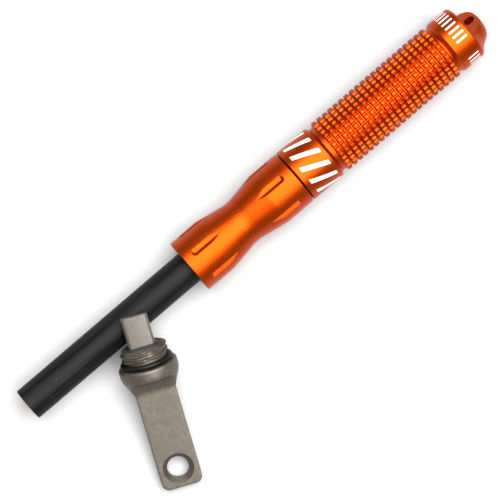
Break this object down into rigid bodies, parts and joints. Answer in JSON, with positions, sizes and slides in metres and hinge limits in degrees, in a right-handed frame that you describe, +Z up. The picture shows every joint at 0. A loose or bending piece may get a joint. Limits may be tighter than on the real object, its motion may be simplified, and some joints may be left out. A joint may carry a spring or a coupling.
{
  "type": "ferrocerium fire starter",
  "caption": "Ferrocerium rod in an orange hourglass holder on a knurled hollow handle, with a separate grey carbide striker leaning on the rod.",
  "frame": {"origin": "middle of the footprint, on the surface that the fire starter lies on", "axes": "+X along the handle, from the rod's tip towards the cap; +Z up; +Y away from the striker's tail"},
  "size_m": [0.136, 0.0458, 0.0162],
  "materials": {
    "orange_anodised": "fine bead-blasted, anodised orange, satin",
    "brass": "turned",
    "ferrocerium": "matt black protective coat with fine lengthwise drawing lines",
    "o_ring_rubber": "moulded nitrile rubber",
    "blasted_steel": "bead-blasted warm grey, satin",
    "carbide": "sintered, as ground, faintly mottled"
  },
  "bodies": {
    "rod_holder": {"rod_holder": "orange_anodised", "rod_sleeve": "brass", "ferro_rod": "ferrocerium"},
    "housing_o_ring": {"housing_o_ring": "o_ring_rubber"},
    "housing": {"housing": "orange_anodised"},
    "striker": {"striker_handle": "blasted_steel", "striker_o_ring": "o_ring_rubber", "carbide_bit": "carbide"}
  },
  "joints": [
    {"name": "housing_travel", "type": "slide", "parent": "rod_holder", "child": "housing_o_ring", "axis": [1, 0, 0], "range_m": [0, 0.00572]},
    {"name": "housing_turn", "type": "hinge", "parent": "housing_o_ring", "child": "housing", "pos_m": [0.0124, 0.01608, 0.00685], "axis": [1, 0, 0], "range_deg": [0, 1620]},
    {"name": "striker_stroke", "type": "slide", "parent": "rod_holder", "child": "striker", "axis": [1, 0, 0], "range_m": [-0.026, 0.009]}
  ],
  "couplings": [
    {"joint": "housing_travel", "follows": "housing_turn", "m_per_rad": 0.00020213}
  ]
}
